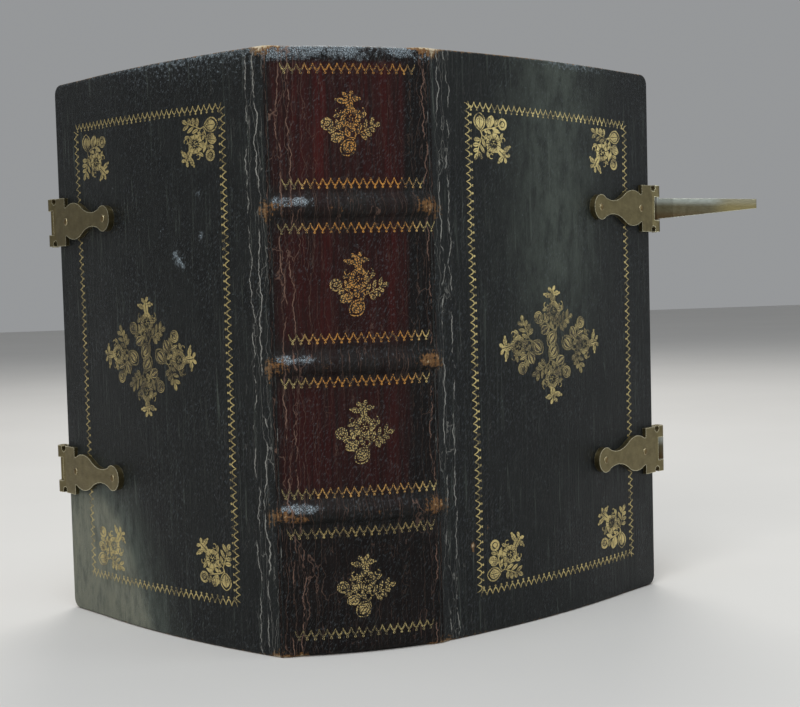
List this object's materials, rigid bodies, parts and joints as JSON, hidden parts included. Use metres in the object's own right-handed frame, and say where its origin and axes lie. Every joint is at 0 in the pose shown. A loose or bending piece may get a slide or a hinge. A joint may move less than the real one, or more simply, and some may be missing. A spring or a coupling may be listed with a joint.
{
  "type": "antique leather book with clasps",
  "caption": "Antique leather-bound book with raised bands, bevelled boards that open and hinged brass clasps that hook over catches.",
  "frame": {"origin": "tail face of the spine, midway between the two cover hinges", "axes": "+Z from tail to head, -Y out of the rounded spine towards the viewer, +X towards the front cover's side"},
  "size_m": [0.2576, 0.1114, 0.18],
  "materials": {
    "pages": "aged laid paper, matt",
    "lining_paper": "glued paper, matt",
    "hemp_cord": "twisted hemp, matt",
    "endband_silk": "silk over a cord core",
    "spine_leather": "dark red-brown calf with black edges, creased and worn, gilt tooled",
    "cover_leather": "black calf, polished and worn, gilt tooled",
    "pastedown_paper": "aged paper, matt",
    "board_wood": "plain oak, unfinished",
    "brass_plates": "cast brass, aged, edges rubbed bright",
    "brass_pins": "drawn brass, aged",
    "brass_arms": "brass, aged, silvery rubbed top"
  },
  "bodies": {
    "book_block": {"text_block": "pages", "spine_leather": "spine_leather", "spine_lining_tail": "lining_paper", "spine_lining_lower": "lining_paper", "spine_lining_upper": "lining_paper", "spine_lining_head": "lining_paper", "upper_sewing_cord": "hemp_cord", "middle_sewing_cord": "hemp_cord", "lower_sewing_cord": "hemp_cord", "head_band": "endband_silk", "tail_band": "endband_silk"},
    "front_cover": {"front_board": "board_wood", "front_cover_leather": "cover_leather", "front_pastedown": "pastedown_paper", "front_cord_slips": "hemp_cord", "front_plate_nails": "brass_pins", "upper_hinge_plate": "brass_plates", "upper_hinge_pin": "brass_pins", "lower_hinge_plate": "brass_plates", "lower_hinge_pin": "brass_pins"},
    "back_cover": {"back_board": "board_wood", "back_cover_leather": "cover_leather", "back_pastedown": "pastedown_paper", "back_cord_slips": "hemp_cord", "back_plate_nails": "brass_pins", "upper_catch_plate": "brass_plates", "upper_catch_bar": "brass_plates", "lower_catch_plate": "brass_plates", "lower_catch_bar": "brass_plates"},
    "upper_clasp": {"upper_clasp_arm": "brass_arms"},
    "lower_clasp": {"lower_clasp_arm": "brass_arms"}
  },
  "joints": [
    {"name": "front_cover_hinge", "type": "hinge", "parent": "book_block", "child": "front_cover", "pos_m": [0.0257, 0, 0.09], "axis": [0, 0, 1], "range_deg": [-28.5, 61.5]},
    {"name": "back_cover_hinge", "type": "hinge", "parent": "book_block", "child": "back_cover", "pos_m": [-0.0257, 0, 0.09], "axis": [0, 0, -1], "range_deg": [-57.4, 32.6]},
    {"name": "upper_clasp_hinge", "type": "hinge", "parent": "front_cover", "child": "upper_clasp", "pos_m": [0.12168, 0.05291, 0.1334], "axis": [0, 0, 1], "range_deg": [-4, 96]},
    {"name": "lower_clasp_hinge", "type": "hinge", "parent": "front_cover", "child": "lower_clasp", "pos_m": [0.12168, 0.05291, 0.0484], "axis": [0, 0, 1], "range_deg": [-85, 15]}
  ]
}
